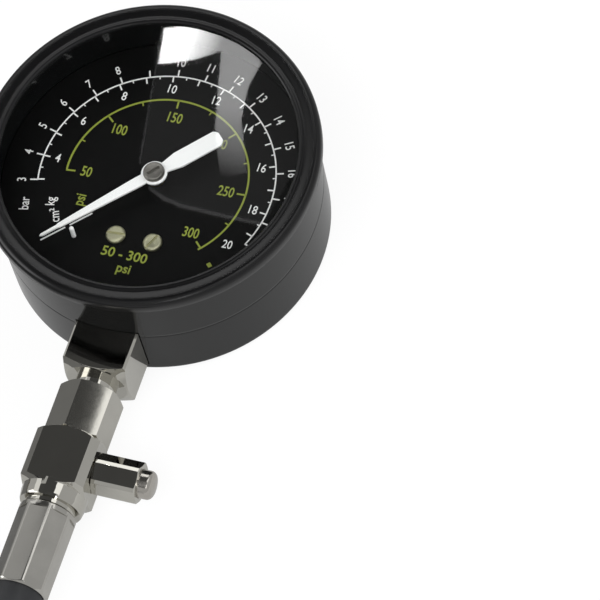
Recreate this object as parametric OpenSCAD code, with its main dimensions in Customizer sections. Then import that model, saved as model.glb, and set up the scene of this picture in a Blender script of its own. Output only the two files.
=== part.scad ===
// Engine compression tester: a dial pressure gauge with a release valve and a hose.
// The gauge lies on its back, the dial faces +Z, the stem points to -Y.
// Origin: on the pointer's axis, at the flat back of the case. Millimetres.

/* [Case] */
// Outer diameter of the case
case_d = 73; // [70:0.5:78]
// Wall thickness of the case
case_wall = 1.6; // [1.2:0.1:2.2]
// Thickness of the case's back
back_t = 2; // [1.5:0.1:2.6]
// Height of the case wall from the flat back
case_h = 30.2; // [28:0.2:33]
// Rounding between the back and the wall
back_round = 1.6; // [0.6:0.1:2]
// Height of the moulding line round the wall
seam_z = 15.5; // [12:0.5:20]
// How much narrower the wall is at the back, for the mould's draft
draft = 0.6; // [0.2:0.1:0.8]

/* [Bezel and lens] */
// How far the bezel stands out beyond the case's wall
bezel_overhang = 1.5; // [1.2:0.1:4]
// How far the bezel's skirt reaches down over the wall
skirt_h = 0.7; // [0.5:0.1:3]
// Width of the bezel's ring seen from above
rim_w = 5; // [4:0.1:7]
// Thickness of the lens
lens_t = 1.2; // [1:0.1:2]
// Thickness of the lens gasket
gasket_t = 0.4; // [0.3:0.1:1]
// Thickness of the bezel's lip above the lens
lip_t = 1; // [0.8:0.1:1.6]

/* [Dial and pointer] */
// Height of the dial's face
dial_z = 20.6; // [19.8:0.1:22]
// Thickness of the dial
dial_t = 0.6; // [0.4:0.1:1]
// Height of the pointer's underside above the dial
pointer_lift = 2.8; // [1.6:0.1:4]
// Pointer length from its axis to the tip
pointer_len = 28.7; // [20:0.1:30]
// Length of the pointer's counterweight
tail_len = 16.7; // [10:0.1:19]
// Width of the counterweight
tail_w = 4; // [3:0.1:5]
// Angle of the resting pointer from twelve o'clock
rest_angle = 136.9; // [130:0.1:140]

/* [Stem] */
// Side of the square stem
stem_w = 14.4; // [13.6:0.1:14.6]
// Height of the stem's axis above the back
stem_z = 10; // [9.6:0.1:10.4]
// Length of the square stem below the case's axis
stem_reach = 46; // [45:0.1:48]
// Bevel on the stem's long edges
stem_bevel = 0.5; // [0.2:0.1:0.8]
// Diameter of the stem's thread
stem_thread_d = 9.4; // [9:0.1:10]

/* [Valve body] */
// Hexagon across its flats
hex_af = 12.6; // [12.2:0.1:14]
// Length of the hexagon
hex_len = 12; // [10:0.1:13]
// Gap between the stem and the hexagon
hex_gap = 2.6; // [1.5:0.1:3]
// Side of the square block
block_w = 14.4; // [14:0.1:15]
// Length of the square block
block_len = 13.7; // [13:0.1:15]
// Bevel on the block's long edges
block_bevel = 1.7; // [1.2:0.1:2]
// Length of the round collar
collar_len = 3.9; // [3.5:0.1:5]
// Largest diameter of the collar
collar_d = 14.6; // [14.4:0.1:15.2]
// Diameter of the air passage
passage_d = 3.6; // [2.5:0.1:4]

/* [Release valve] */
// Hexagon of the release valve across its flats
barrel_af = 8.4; // [8.2:0.1:9]
// Length of the release valve outside the block
barrel_len = 10.2; // [9:0.1:12]
// Distance of the release valve below the block's upper end
release_drop = 6.3; // [6:0.1:6.8]
// Diameter of the release button
button_d = 6.4; // [5.8:0.1:6.5]
// How far the button stands out
button_out = 3.2; // [2.8:0.1:4.5]
// Travel of the button
button_travel = 2; // [1:0.1:2.4]
// Running clearance round the button
slide_gap = 0.06; // [0.04:0.01:0.1]

/* [Hose] */
// Outer diameter of the hose
hose_d = 11.2; // [9:0.1:11.6]
// Diameter of the crimped sleeves
ferrule_d = 12.8; // [12.6:0.1:13.4]
// Length of a crimped sleeve
ferrule_len = 20; // [18:0.1:22]

/* [Plug end] */
// Diameter of the spark plug thread
plug_d = 14; // [12:1:14]
// Length of the spark plug thread
plug_len = 16; // [12:0.5:19]
// Diameter of the knurled grip
grip_d = 16; // [15.5:0.1:16.2]
// Length of the knurled grip
grip_len = 15; // [12:0.5:18]
// Thickness of the sealing ring
ring_t = 2.4; // [1.8:0.1:2.8]

/* [Movement] */
// Height of the gears' underside
gear_z = 12; // [11.9:0.1:12.4]
// Thickness of the toothed sector
gear_t = 1; // [0.8:0.1:1.4]
// Thickness of a movement plate
plate_t = 1; // [0.8:0.1:1.1]
// Diameter of the arbors
arbor_d = 1.2; // [1:0.1:1.4]
// Length of the sector's lever arm
lever_len = 7; // [6.8:0.1:7.2]
// Mean radius of the pressure tube
tube_r = 25; // [24.5:0.1:25.5]

/* [Hidden] */
$fn = 96;
fit = 0.05;
case_r = case_d / 2;
inner_r = case_r - case_wall;
lens_z = case_h + gasket_t;
lip_z = lens_z + lens_t + fit;
front_z = lip_z + lip_t;
bezel_r = case_r + bezel_overhang;
bezel_low = case_h - skirt_h;
pointer_z = dial_z + pointer_lift;
pointer_t = 0.5;
boss_d = 4.8;
dial_hole_r = 1.8;
screw_x = 4.3;
screw_y = -15.2;
stop_r = 22;
stop_offset = 6;
stem_top = stem_z + stem_w / 2;
stem_low = stem_z - stem_w / 2;
hole_gap = 0.15;
stem_end = -stem_reach;
hex_top = stem_end - hex_gap;
block_top = hex_top - hex_len;
block_end = block_top - block_len;
collar_end = block_end - collar_len;
valve_y = block_top - release_drop;
barrel_end = block_w / 2 + barrel_len;
button_in = 5;
hex_turn = 20;
barrel_turn = -11;
button_seat = barrel_end - button_in;
nipple_r = 2.7;
hose_bore_r = 2.75;
ferrule_end = collar_end - 0.2 - ferrule_len;
plate_low = 9;
front_plate_z = 16.2;
back_plate_len = 35;
front_plate_len = 33.4;
gear_m = 0.3;
pinion_n = 12;
sector_n = 96;
pitch_r = gear_m * pinion_n / 2;
sector_r = gear_m * sector_n / 2;
sector_y = -(pitch_r + sector_r);
tooth_shift = 0.4;
backlash = 0.035;
half_swing = 16;
lever_pin = [lever_len * sin(-half_swing), sector_y - lever_len * cos(half_swing)];
arbor_gap = 0.05;
tube_w = 2.6;
tube_h = 5.2;
tube_mid = 6.2;
tube_from = -30;
tube_to = 250;
tip_pin = [18.8, -17.4];
link_z = 10.6;
link_t = 0.8;
link_pin_r = 0.5;
free_gap = 0.25;
pillars = [[-7.8, 4.2], [7.8, 4.2], [-7.8, -21.5], [7.8, -24.2]];
plug_neck = 3;
core_from = ferrule_len + 0.2 + plug_neck + grip_len + ring_t + plug_len - 12;

// Route of the hose from the gauge's sleeve to the plug's sleeve, laid on the bench
route = [
    [0, -98, 10], [0, -108, 9.2], [0, -121, 7.4], [-4, -142, 6], [-15, -161, 5.7],
    [-32, -175, 5.7], [-52, -182, 5.7], [-74, -182, 5.7], [-94, -175, 5.7], [-110, -161, 5.7],
    [-120, -143, 5.7], [-124, -123, 5.7], [-125, -107, 6], [-125, -93, 6.9], [-125, -81, 7.8],
    [-125, -71, 8.2]
];
route_start = [0, ferrule_end, stem_z];
hose_path = concat([route_start], [for (i = [1 : len(route) - 1]) route[i]]);
plug_from = route[len(route) - 1];
plug_turn = 0;

module ring(outer, inner, height) {
    difference() {
        cylinder(r = outer, h = height);
        translate([0, 0, -1])
            cylinder(r = inner, h = height + 2);
    }
}

// Turns a shape built along +Z so that it runs along -Y from the given place
module along_stem(y) {
    translate([0, y, stem_z])
        rotate([90, 0, 0])
            children();
}

// Turns a shape built along +Z so that it runs along +X at the release valve
module along_release(x) {
    translate([x, valve_y, stem_z])
        rotate([0, 90, 0])
            children();
}

// Turns a shape built along +Z so that it runs on from the hose's far end
module along_plug(reach) {
    translate(plug_from)
        rotate([0, 0, plug_turn])
            rotate([-90, 0, 0])
                translate([0, 0, reach])
                    children();
}

// A square with bevelled corners, half as wide as given
module bevelled_square(cheek, bevel) {
    flat = cheek - bevel;
    polygon([
        [-cheek, -flat], [-flat, -cheek], [flat, -cheek], [cheek, -flat],
        [cheek, flat], [flat, cheek], [-flat, cheek], [-cheek, flat]
    ]);
}

// Outer radius of the tapered case at a height
function wall_r(z) = case_r - draft * (1 - z / case_h);

// A hexagonal bar with turned chamfers at both ends
module chamfered_hex(af, height, cut) {
    corner = af / 2 / cos(30);
    intersection() {
        cylinder(r = corner, h = height, $fn = 6);
        rotate_extrude()
            polygon([
                [0, 0], [corner - cut, 0], [corner + 0.1, cut * 0.55],
                [corner + 0.1, height - cut * 0.55], [corner - cut, height], [0, height]
            ]);
    }
}

module case() {
    color("#4b4d4f")
    difference() {
        rotate_extrude()
            polygon(concat(
                [[0, 0]],
                [for (a = [0 : 15 : 90]) [
                    wall_r(back_round) - back_round + back_round * sin(a),
                    back_round - back_round * cos(a)
                ]],
                [
                    [wall_r(seam_z - 0.3), seam_z - 0.3], [wall_r(seam_z) - 0.2, seam_z],
                    [wall_r(seam_z + 0.3), seam_z + 0.3], [case_r, case_h], [inner_r, case_h],
                    [wall_r(back_t) - case_wall, back_t], [0, back_t]
                ]));
        translate([-stem_w / 2 - hole_gap, -case_r - 1, stem_low - hole_gap])
            cube([stem_w + 2 * hole_gap, 2 * case_wall + 1, stem_w + 2 * hole_gap]);
        for (side = [-1, 1])
            translate([side * 4.5, -28, -1]) {
                cylinder(d = 3.2, h = back_t + 2);
                cylinder(d = 6.2, h = 1.9);
            }
    }
}

module socket_screws() {
    color("silver")
    for (side = [-1, 1])
        translate([side * 4.5, -28, 0])
            difference() {
                union() {
                    translate([0, 0, 0.1])
                        cylinder(d = 5.6, h = 0.8);
                    cylinder(d = 2.8, h = stem_low + 4);
                }
                translate([-2, -0.3, -1])
                    cube([4, 0.6, 1.5]);
            }
}

module bezel() {
    lip_r = bezel_r - rim_w;
    edge = 1.5;
    color("#1b1c1d")
    rotate_extrude()
        polygon(concat(
            [[case_r + fit, bezel_low], [bezel_r - 0.3, bezel_low], [bezel_r, bezel_low + 0.3]],
            [for (a = [0 : 15 : 90])
                [bezel_r - edge + edge * cos(a), front_z - edge + edge * sin(a)]],
            [
                [lip_r + 1.6, front_z - 0.25], [lip_r + 0.9, front_z - 0.1],
                [lip_r + 0.3, front_z - 0.2], [lip_r, front_z - 0.5],
                [lip_r, lip_z], [case_r + fit, lip_z]
            ]));
}

module lens() {
    color("lightblue", 0.4)
    translate([0, 0, lens_z])
        cylinder(r = case_r - 0.3, h = lens_t);
}

module lens_gasket() {
    color("black")
    translate([0, 0, case_h])
        ring(case_r - 0.2, inner_r, gasket_t);
}

module dial() {
    color("#161616")
    difference() {
        translate([0, 0, dial_z - dial_t])
            cylinder(r = inner_r - 0.4, h = dial_t);
        translate([0, 0, dial_z - 2])
            cylinder(r = dial_hole_r, h = 4);
        for (side = [-1, 1])
            translate([side * screw_x, screw_y, dial_z - 2])
                cylinder(d = 2.2, h = 4);
        rotate([0, 0, rest_angle + stop_offset])
            translate([0, stop_r, dial_z - 2])
                cylinder(d = 1, h = 4);
    }
}

module dial_screws() {
    color("silver")
    for (side = [-1, 1])
        translate([side * screw_x, screw_y, 0])
            difference() {
                union() {
                    translate([0, 0, dial_z])
                        cylinder(d1 = 4.4, d2 = 3.6, h = 0.9);
                    translate([0, 0, dial_z - 2.4])
                        cylinder(d = 2, h = 2.5);
                }
                rotate([0, 0, 35 + 30 * side])
                    translate([-3, -0.3, dial_z + 0.45])
                        cube([6, 0.6, 1]);
            }
}

module dial_posts() {
    color("goldenrod")
    for (side = [-1, 1])
        translate([side * screw_x, screw_y, front_plate_z + plate_t])
            difference() {
                cylinder(d = 4, h = dial_z - dial_t - front_plate_z - plate_t);
                translate([0, 0, 0.4])
                    cylinder(d = 2, h = 9);
            }
}

module stop_pin() {
    color("silver")
    rotate([0, 0, rest_angle + stop_offset])
        translate([0, stop_r, dial_z - dial_t])
            cylinder(d = 1, h = dial_t + pointer_lift + pointer_t + 0.4);
}

// Blade and counterweight of the pointer, drawn pointing to twelve o'clock
module pointer_outline() {
    neck = 1.25;
    polygon([
        [-neck, 0], [-neck, 5], [-0.55, pointer_len - 5], [-0.35, pointer_len - 4.4],
        [-0.3, pointer_len - 0.5], [0, pointer_len], [0.3, pointer_len - 0.5],
        [0.35, pointer_len - 4.4], [0.55, pointer_len - 5], [neck, 5], [neck, 0],
        [neck + 0.1, -3], [tail_w / 2, -6], [tail_w / 2, 0.9 - tail_len], [tail_w / 2 - 0.9, -tail_len],
        [0.9 - tail_w / 2, -tail_len], [-tail_w / 2, 0.9 - tail_len], [-tail_w / 2, -6], [-neck - 0.1, -3]
    ]);
}

module pointer() {
    color("white")
    rotate([0, 0, rest_angle])
        translate([0, 0, pointer_z])
            difference() {
                union() {
                    linear_extrude(pointer_t)
                        pointer_outline();
                    cylinder(r = 2.9, h = pointer_t);
                }
                translate([0, 0, -1])
                    cylinder(d = boss_d - 1, h = 3);
            }
}

module pointer_boss() {
    color("#5a5a5a")
    rotate([0, 0, rest_angle])
        difference() {
            union() {
                translate([0, 0, dial_z + 0.8])
                    cylinder(d = boss_d - 1, h = pointer_z + pointer_t - dial_z - 0.8);
                translate([0, 0, pointer_z + pointer_t])
                    cylinder(d1 = boss_d, d2 = boss_d - 0.5, h = 1);
            }
            translate([0, 0, dial_z])
                cylinder(d = arbor_d + 0.02, h = pointer_lift + 0.02);
            translate([-0.35, -1.4, pointer_z + pointer_t + 0.5])
                cube([0.7, 2.8, 1]);
        }
}

module stem_socket() {
    chamfer = 1.9;
    seat_low = tube_mid - tube_h / 2 - 0.4;
    color("#c9c9c6")
    difference() {
        union() {
            intersection() {
                along_stem(1 - inner_r)
                    linear_extrude(stem_reach - inner_r + 1)
                        bevelled_square(stem_w / 2, stem_bevel);
                along_stem(-20)
                    rotate_extrude()
                        polygon([
                            [0, 0], [11, 0], [11, stem_reach - 20 - chamfer],
                            [stem_w / 2 - 0.3, stem_reach - 20], [0, stem_reach - 20]
                        ]);
            }
            translate([-stem_w / 2, -inner_r, stem_low])
                cube([stem_w, 14.4, plate_low - stem_low]);
            // Seat that the pressure tube is soldered into
            rotate([0, 0, tube_to])
                translate([0, 0, seat_low])
                    rotate_extrude(angle = 8)
                        translate([tube_r - tube_w / 2 - 0.6, 0])
                            square([tube_w + 1.2, plate_low - seat_low - 0.1]);
            along_stem(stem_end + 1)
                cylinder(d = stem_thread_d, h = hex_gap + hex_len);
        }
        along_stem(-34)
            cylinder(d = passage_d, h = 40);
        for (side = [-1, 1]) {
            translate([side * 4.5, -28, -1])
                cylinder(d = 2.8, h = stem_low + 5);
            translate([side * 4.5, -23, plate_low - 3])
                cylinder(d = 1.8, h = 4);
        }
    }
}

module bourdon_tube() {
    color("#b08d3f")
    rotate([0, 0, tube_from])
        rotate_extrude(angle = tube_to - tube_from)
            translate([tube_r, tube_mid])
                difference() {
                    union() {
                        square([tube_w, tube_h - tube_w], center = true);
                        for (side = [-1, 1])
                            translate([0, side * (tube_h - tube_w) / 2])
                                circle(d = tube_w, $fn = 32);
                    }
                    union() {
                        square([tube_w - 0.8, tube_h - tube_w], center = true);
                        for (side = [-1, 1])
                            translate([0, side * (tube_h - tube_w) / 2])
                                circle(d = tube_w - 0.8, $fn = 32);
                    }
                }
}

module tube_tip() {
    low = tube_mid - tube_h / 2 - 0.4;
    color("#b08d3f") {
        rotate([0, 0, -38])
            translate([0, 0, low])
                rotate_extrude(angle = 8)
                    translate([tube_r - tube_w / 2 - 0.3, 0])
                        square([tube_w + 0.6, tube_h + 0.8]);
        difference() {
            translate([0, 0, low]) {
                translate([tip_pin[0], tip_pin[1], 0])
                    cylinder(r = 1.7, h = tube_h + 0.8);
                translate([tip_pin[0], tip_pin[1], 0])
                    rotate([0, 0, -54])
                        translate([-1.5, 0, 0])
                            rotate([0, 0, 54 + 31])
                                translate([0, -1.5, 0])
                                    cube([3, 3, tube_h + 0.8]);
            }
            translate([0, 0, -1])
                cylinder(r = tube_r - tube_w / 2 - 1.2, h = 30);
        }
        translate([tip_pin[0], tip_pin[1], low + tube_h])
            cylinder(r = 1.1, h = link_z - 0.1 - low - tube_h);
        translate([tip_pin[0], tip_pin[1], link_z - 0.2])
            cylinder(r = link_pin_r, h = link_t + 0.7);
    }
}

module link() {
    run = tip_pin - lever_pin;
    reach = norm(run);
    color("#c7a04a")
    translate([lever_pin[0], lever_pin[1], link_z])
        rotate([0, 0, atan2(run[1], run[0])])
            difference() {
                union() {
                    cylinder(r = 1.5, h = link_t);
                    translate([reach, 0, 0])
                        cylinder(r = 1.5, h = link_t);
                    translate([0, -0.8, 0])
                        cube([reach, 1.6, link_t]);
                }
                translate([0, 0, -1])
                    cylinder(r = link_pin_r + free_gap, h = 3);
                translate([reach, 0, -1])
                    cylinder(r = link_pin_r + arbor_gap, h = 3);
            }
}

module plate(low, length) {
    corner = 2.4;
    top = 6.8;
    half = 10.4;
    translate([0, 0, low])
        linear_extrude(plate_t)
            union() {
                translate([-half, top - length + corner])
                    square([2 * half, length - 2 * corner]);
                translate([-half + corner, top - length])
                    square([2 * half - 2 * corner, length]);
                for (x = [-1, 1], y = [top - corner, top - length + corner])
                    translate([x * (half - corner), y])
                        circle(r = corner, $fn = 48);
            }
}

module back_plate() {
    color("goldenrod")
    difference() {
        plate(plate_low, back_plate_len);
        translate([0, 0, plate_low - 1])
            cylinder(d = arbor_d + 2 * arbor_gap, h = 3);
        translate([0, sector_y, plate_low - 1])
            cylinder(d = arbor_d + 2 * arbor_gap, h = 3);
        for (side = [-1, 1])
            translate([side * 4.5, -23, plate_low - 1])
                cylinder(d = 2, h = 3);
        for (place = pillars)
            translate([place[0], place[1], plate_low - 1])
                cylinder(d = 1.6, h = 3);
    }
}

module front_plate() {
    color("goldenrod")
    difference() {
        plate(front_plate_z, front_plate_len);
        translate([0, 0, front_plate_z - 1])
            cylinder(d = arbor_d + 2 * arbor_gap, h = 3);
        translate([0, sector_y, front_plate_z - 1])
            cylinder(d = arbor_d + 2 * arbor_gap, h = 3);
        for (place = pillars)
            translate([place[0], place[1], front_plate_z - 1])
                cylinder(d = 1.6, h = 3);
    }
}

module plate_pillars() {
    color("goldenrod")
    for (place = pillars)
        translate([place[0], place[1], plate_low + plate_t])
            difference() {
                cylinder(d = 3.4, h = front_plate_z - plate_low - plate_t);
                translate([0, 0, -1])
                    cylinder(d = 1.6, h = 20);
            }
}

module plate_screws() {
    color("silver") {
        for (side = [-1, 1])
            translate([side * 4.5, -23, 0]) {
                translate([0, 0, plate_low - 2.4])
                    cylinder(d = 1.8, h = plate_t + 2.4);
                translate([0, 0, plate_low + plate_t])
                    cylinder(d = 3.2, h = 0.5);
            }
        for (place = pillars)
            translate([place[0], place[1], 0]) {
                translate([0, 0, front_plate_z - 2])
                    cylinder(d = 1.5, h = plate_t + 2);
                translate([0, 0, front_plate_z + plate_t])
                    cylinder(d = 3, h = 0.8);
            }
    }
}

// Angle in degrees that an involute has swept where it reaches radius r
function involute(base, r) = r <= base ? 0 : tan(acos(base / r)) * 180 / PI - acos(base / r);

// One tooth's flank and tip as points at angle zero, from root to tip and back
function tooth(n, shift) =
    let (
        pitch = gear_m * n / 2,
        base = pitch * cos(20),
        root = pitch - gear_m * 1.25 + gear_m * shift,
        tip = pitch + gear_m + gear_m * shift,
        thick = gear_m * (PI / 2 + 2 * shift * tan(20)) - backlash,
        half = thick / 2 / pitch * 180 / PI + involute(base, pitch),
        radii = [root, max(root, base), (pitch + base) / 2 + 0.02, pitch, (pitch + tip) / 2, tip]
    )
    concat(
        [for (r = radii) [r, -half + involute(base, r)]],
        [for (i = [len(radii) - 1 : -1 : 0]) [radii[i], half - involute(base, radii[i])]]
    );

function turned(points, angle) = [for (p = points) p[0] * [cos(p[1] + angle), sin(p[1] + angle)]];

function flat_list(lists) = [for (l = lists) each l];

module sector_outline() {
    step = 360 / sector_n;
    teeth = [-11 : 2];
    rim = sector_r - 2.6;
    points = flat_list([for (k = teeth) turned(tooth(sector_n, -tooth_shift), 90 + k * step)]);
    inner = [for (a = [90 + 2.5 * step : -step : 90 - 11.5 * step]) rim * [cos(a), sin(a)]];
    polygon(concat(points, inner));
    for (a = [90 + 1.2 * step, 90 - 10.2 * step])
        polygon([
            1.6 * [cos(a + 60), sin(a + 60)], 1.6 * [cos(a - 60), sin(a - 60)],
            (rim + 0.4) * [cos(a - 3.5), sin(a - 3.5)], (rim + 0.4) * [cos(a + 3.5), sin(a + 3.5)]
        ]);
    circle(r = 2.2, $fn = 48);
}

module sector_gear() {
    color("#c7a04a") {
        translate([0, sector_y, gear_z])
            linear_extrude(gear_t)
                difference() {
                    union() {
                        sector_outline();
                        rotate([0, 0, -half_swing])
                            translate([-1.2, -lever_len])
                                square([2.4, lever_len]);
                        rotate([0, 0, -half_swing])
                            translate([0, -lever_len])
                                circle(r = 1.2, $fn = 48);
                    }
                    circle(d = arbor_d, $fn = 48);
                }
        translate([lever_pin[0], lever_pin[1], link_z - 0.3])
            cylinder(r = link_pin_r, h = gear_z - link_z + 0.4);
    }
}

module sector_arbor() {
    color("silver")
    translate([0, sector_y, plate_low + 0.2])
        cylinder(d = arbor_d, h = front_plate_z + plate_t - plate_low - 0.1);
}

module pinion() {
    step = 360 / pinion_n;
    root = pitch_r - gear_m * (1.25 - tooth_shift);
    color("#c7a04a") {
        translate([0, 0, gear_z - 0.5])
            linear_extrude(gear_t + 1)
                polygon(flat_list([for (k = [0 : pinion_n - 1])
                    turned(tooth(pinion_n, tooth_shift), -90 + (k + 0.5) * step)]));
        translate([0, 0, plate_low + 0.2])
            cylinder(d = arbor_d, h = pointer_z - plate_low - 0.2);
        translate([0, 0, gear_z + gear_t + 0.7])
            cylinder(r = 1.1, h = 1.6);
    }
}

// Flat spiral spring that keeps the gears' teeth on one flank
module hairspring() {
    turns = 4;
    inner = 1.25;
    outer = 6;
    strip = 0.18;
    steps = turns * 24;
    function at(i, side) =
        let (r = inner + (outer - inner) * i / steps + side * strip / 2, a = 360 * turns * i / steps)
        r * [cos(a), sin(a)];
    color("#d8b25a")
    translate([0, 0, gear_z + gear_t + 1])
        linear_extrude(0.9)
            polygon(concat(
                [for (i = [0 : steps]) at(i, 1)],
                [for (i = [steps : -1 : 0]) at(i, -1)]));
}

module spring_stud() {
    color("goldenrod")
    translate([6.6, 0, gear_z + gear_t + 0.8])
        cylinder(r = 0.5, h = front_plate_z - gear_z - gear_t - 0.8);
}

module valve_body() {
    cheek = block_w / 2;
    rim = collar_d / 2 - 0.25;
    color("#bfc0be")
    difference() {
        union() {
            along_stem(hex_top)
                rotate([0, 0, -hex_turn])
                    chamfered_hex(hex_af, hex_len + 0.2, 1.1);
            intersection() {
                along_stem(block_top)
                    linear_extrude(block_len)
                        bevelled_square(cheek, block_bevel);
                along_stem(block_top)
                    rotate_extrude()
                        polygon([
                            [0, 0], [cheek - 0.2, 0], [cheek + 2.2, 1.6],
                            [cheek + 2.2, block_len - 1.1], [cheek - 0.2, block_len], [0, block_len]
                        ]);
            }
            along_stem(block_end + 0.9)
                rotate_extrude()
                    polygon([
                        [0, 0], [collar_d / 2, 0], [collar_d / 2, 1.8], [rim, collar_len - 0.3],
                        [rim - 0.2, collar_len + 0.1], [rim - 1.4, collar_len + 0.1],
                        [rim - 1.4, collar_len + 0.9], [0, collar_len + 0.9]
                    ]);
        }
        along_stem(hex_top + 1)
            cylinder(d = stem_thread_d + 2 * fit, h = hex_len + 0.6);
        along_stem(hex_top)
            cylinder(d = passage_d, h = 60);
        along_stem(collar_end + 4)
            cylinder(r = nipple_r - 0.5 + fit, h = 5);
        along_release(-4.5)
            cylinder(r = 2.4, h = 6.9);
        along_release(2)
            cylinder(r = 1.5, h = 10);
        along_release(3.4)
            cylinder(r = 3.6 + fit, h = 10);
    }
}

module release_barrel() {
    color("#c4c5c3")
    difference() {
        union() {
            along_release(block_w / 2)
                rotate([0, 0, barrel_turn])
                    chamfered_hex(barrel_af, barrel_len, 0.7);
            along_release(3.5)
                cylinder(r = 3.6, h = block_w / 2 - 3.4);
        }
        along_release(0)
            cylinder(r = 1.5, h = 20);
        along_release(button_seat - 1 - button_travel)
            cylinder(d = button_d + 2 * slide_gap, h = 20);
    }
}

module release_button() {
    dome = 1.3;
    r = button_d / 2;
    color("#8f9190")
    along_release(button_seat)
        difference() {
            rotate_extrude()
                polygon(concat(
                    [[0, 0], [r, 0], [r, button_in + button_out - dome]],
                    [for (a = [15 : 15 : 75])
                        [r - dome + dome * cos(a), button_in + button_out - dome + dome * sin(a)]],
                    [[r - dome, button_in + button_out], [0, button_in + button_out]]));
            translate([0, 0, -1])
                cylinder(r = 1, h = 2.6);
            translate([0, 0, -1])
                ring(r - 0.4, 1.5, 2.4);
        }
}

module release_stem() {
    color("silver")
    along_release(0.4)
        cylinder(r = 0.9, h = button_seat + 1);
}

module release_seal() {
    color("black")
    along_release(0.6)
        rotate_extrude()
            polygon([[0.9, 0], [2, 0], [2, 0.7], [1.6, 1.35], [0.9, 1.35]]);
}

// Coil spring as one unbroken tube, built along +Z
module coil_spring(mid_r, wire_r, height, turns) {
    per_turn = 8;
    sides = 6;
    rings = turns * per_turn;
    climb = (height - 2 * wire_r) / rings;
    points = [for (i = [0 : rings], k = [0 : sides - 1])
        let (a = 360 * i / per_turn, b = 360 * k / sides, r = mid_r + wire_r * cos(b))
        [r * cos(a), r * sin(a), wire_r + climb * i + wire_r * sin(b)]];
    echo(spring_gap = climb * per_turn - 2 * wire_r);
    polyhedron(points, tube_faces(rings, sides, false), convexity = 10);
}

// Triangles of a closed tube with the given number of rings; flip turns them over
function tube_faces(rings, sides, flip) =
    let (
        walls = [for (i = [0 : rings - 1], k = [0 : sides - 1], half = [0, 1])
            let (a = i * sides + k, b = i * sides + (k + 1) % sides, c = a + sides, d = b + sides)
            half == 0 ? [a, c, b] : [b, c, d]],
        first = [for (k = [1 : sides - 2]) [0, k, k + 1]],
        last = [for (k = [1 : sides - 2]) [rings * sides, rings * sides + k + 1, rings * sides + k]],
        all = concat(walls, first, last)
    )
    flip ? [for (f = all) [f[2], f[1], f[0]]] : all;

module release_spring() {
    low = button_seat - 1 - button_travel;
    color("silver")
    along_release(low + 0.05)
        coil_spring(2.05, 0.3, button_seat + 1.3 - low, 4);
}

module hose_nipple() {
    length = ferrule_len - 2;
    barb = 2.9;
    color("#c9a24f")
    difference() {
        along_stem(collar_end + 3.6)
            rotate_extrude()
                polygon(concat(
                    [[0, 0], [nipple_r - 0.5, 0], [nipple_r - 0.5, 3.6]],
                    flat_list([for (i = [0 : 4])
                        [[nipple_r, 3.7 + i * barb], [nipple_r - 0.35, 3.6 + (i + 1) * barb]]]),
                    [[0, 3.6 + 5 * barb]]));
        along_stem(collar_end + 5)
            cylinder(r = 1.5, h = length + 10);
    }
}

// Crimped sleeve built along +Z: a turned shell pressed in by flat jaws
module ferrule() {
    jaws = 8;
    depth = 0.35;
    crimp_turn = 17;
    difference() {
        rotate_extrude()
            polygon([
                [hose_d / 2, 0], [ferrule_d / 2 - 0.4, 0], [ferrule_d / 2, 0.4],
                [ferrule_d / 2, ferrule_len - 0.6], [ferrule_d / 2 - 0.5, ferrule_len],
                [hose_d / 2 + 0.05, ferrule_len], [hose_d / 2 + 0.05, 1], [hose_d / 2 - 1.5, 1],
                [hose_d / 2 - 1.5, 0]
            ]);
        for (k = [0 : jaws - 1])
            rotate([0, 0, (k + 0.5) * 360 / jaws - crimp_turn])
                translate([ferrule_d / 2 - depth, -4, 1.5])
                    cube([4, 8, ferrule_len]);
    }
}

module gauge_ferrule() {
    color("#c4c5c3")
    along_stem(collar_end - 0.2)
        ferrule();
}

module end_ferrule() {
    color("#c4c5c3")
    along_plug(ferrule_len)
        rotate([180, 0, 0])
            ferrule();
}

// The two ends of the rubber hose gripped inside the sleeves
module hose_ends() {
    length = ferrule_len - 1.1;
    color("#1c1c1c") {
        along_stem(collar_end - 1.3)
            ring(hose_d / 2, hose_bore_r, length);
        along_plug(0)
            ring(hose_d / 2, hose_bore_r, length);
    }
}

function unit(v) = v / norm(v);

// Direction of the hose at a point of its path
function heading(i) =
    i == 0 ? [0, -1, 0] :
    i == len(hose_path) - 1 ? [sin(-plug_turn), cos(plug_turn), 0] :
    unit(hose_path[i + 1] - hose_path[i - 1]);

module hose() {
    sides = 12;
    points = [for (i = [0 : len(hose_path) - 1], k = [0 : sides - 1])
        let (
            ahead = heading(i),
            side = unit(cross(ahead, [0, 0, 1])),
            up = cross(side, ahead),
            a = 360 * k / sides
        )
        hose_path[i] + hose_d / 2 * (cos(a) * side + sin(a) * up)];
    color("#1c1c1c")
    polyhedron(points, tube_faces(len(hose_path) - 1, sides, false), convexity = 6);
}

module plug_adapter() {
    neck = plug_neck;
    color("#bfc0be")
    difference() {
        along_plug(ferrule_len + 0.2)
            rotate_extrude()
                polygon([
                    [0, 0], [ferrule_d / 2 - 0.2, 0], [ferrule_d / 2 - 0.2, neck],
                    [grip_d / 2 - 0.6, neck + 0.4], [grip_d / 2, neck + 1],
                    [grip_d / 2, neck + grip_len - 0.6], [grip_d / 2 - 0.6, neck + grip_len],
                    [plug_d / 2 - 1, neck + grip_len], [plug_d / 2 - 1, neck + grip_len + ring_t],
                    [plug_d / 2, neck + grip_len + ring_t + 0.9],
                    [plug_d / 2, neck + grip_len + ring_t + plug_len - 1],
                    [plug_d / 2 - 1, neck + grip_len + ring_t + plug_len],
                    [0, neck + grip_len + ring_t + plug_len]
                ]);
        along_plug(0)
            cylinder(r = 1.6, h = 90);
        along_plug(core_from)
            cylinder(r = 2.6 + fit, h = 90);
    }
}

module plug_ring() {
    color("black")
    along_plug(ferrule_len + 0.2 + plug_neck + grip_len + 0.02)
        ring(plug_d / 2 + 0.7, plug_d / 2 - 1 + 0.02, ring_t - 0.5);
}

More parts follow.
